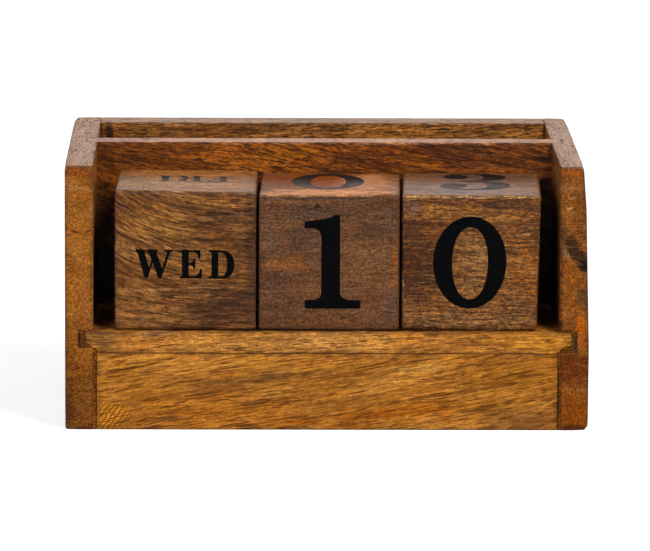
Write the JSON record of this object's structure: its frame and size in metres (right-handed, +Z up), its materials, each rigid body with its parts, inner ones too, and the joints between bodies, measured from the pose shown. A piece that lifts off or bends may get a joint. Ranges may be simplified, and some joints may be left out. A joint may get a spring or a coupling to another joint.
{
  "type": "perpetual desk calendar",
  "caption": "Wooden perpetual desk calendar: weekday and date blocks stand on a shelf between two side panels, with an open letter slot behind them; the blocks lift out.",
  "frame": {"origin": "on the desk, under the middle of the case", "axes": "+X to the right seen from the front, +Y from the front to the back, +Z up"},
  "size_m": [0.1864, 0.123, 0.095],
  "materials": {
    "side_wood": "orange-brown stained hardwood with darker flecks, satin",
    "front_wood": "honey-coloured hardwood with short dark pores, satin",
    "divider_wood": "red-brown stained hardwood, satin",
    "back_wood": "brown stained hardwood, dull inside the slot",
    "block_wood": "brown hardwood with pale worn edges and black printed numbers",
    "putty": "dark wood putty, matt",
    "brad_steel": "bright steel wire"
  },
  "bodies": {
    "case": {"left_side_panel": "side_wood", "right_side_panel": "side_wood", "front_board": "front_wood", "block_shelf": "front_wood", "divider": "divider_wood", "back_panel": "back_wood", "bottom_board": "back_wood", "left_joint_filler": "putty", "right_joint_filler": "putty", "left_brads": "brad_steel", "right_brads": "brad_steel"},
    "weekday_block": {"weekday_block": "block_wood"},
    "tens_block": {"tens_block": "block_wood"},
    "units_block": {"units_block": "block_wood"}
  },
  "joints": [
    {"name": "weekday_lift", "type": "slide", "parent": "case", "child": "weekday_block", "axis": [0, 0, 1], "range_m": [0, 0.065]},
    {"name": "tens_lift", "type": "slide", "parent": "case", "child": "tens_block", "axis": [0, 0, 1], "range_m": [0, 0.065]},
    {"name": "units_lift", "type": "slide", "parent": "case", "child": "units_block", "axis": [0, 0, 1], "range_m": [0, 0.065]}
  ]
}
